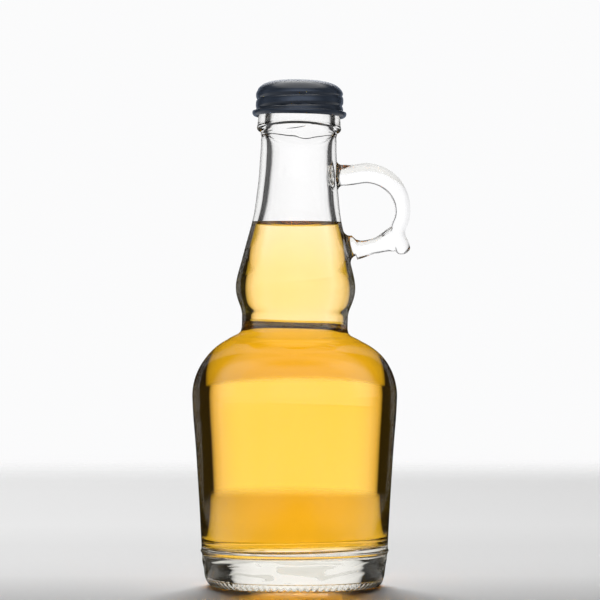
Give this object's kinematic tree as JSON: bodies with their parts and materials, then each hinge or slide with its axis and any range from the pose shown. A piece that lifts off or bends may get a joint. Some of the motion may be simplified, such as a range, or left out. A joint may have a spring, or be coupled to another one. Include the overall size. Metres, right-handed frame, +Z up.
{
  "type": "handled glass bottle with drink",
  "caption": "Small clear glass bottle with a round shouldered body, a bulb below its neck and a ring handle, filled with an amber drink and shut by a black metal screw cap.",
  "frame": {"origin": "middle of the part's outline seen from above, on the surface it stands on; the round body's axis is 2.6 mm to the -X side, because the handle reaches out to +X", "axes": "+Z up along the bottle, +X towards the ring handle, +Y away from the side that faces the viewer"},
  "size_m": [0.0784, 0.0736, 0.181],
  "materials": {
    "glass": "clear, polished",
    "drink": "clear amber liquid",
    "cap": "satin blue-black lacquer"
  },
  "bodies": {
    "root": {"bottle": "glass", "drink": "drink", "cap": "cap"}
  },
  "joints": []
}
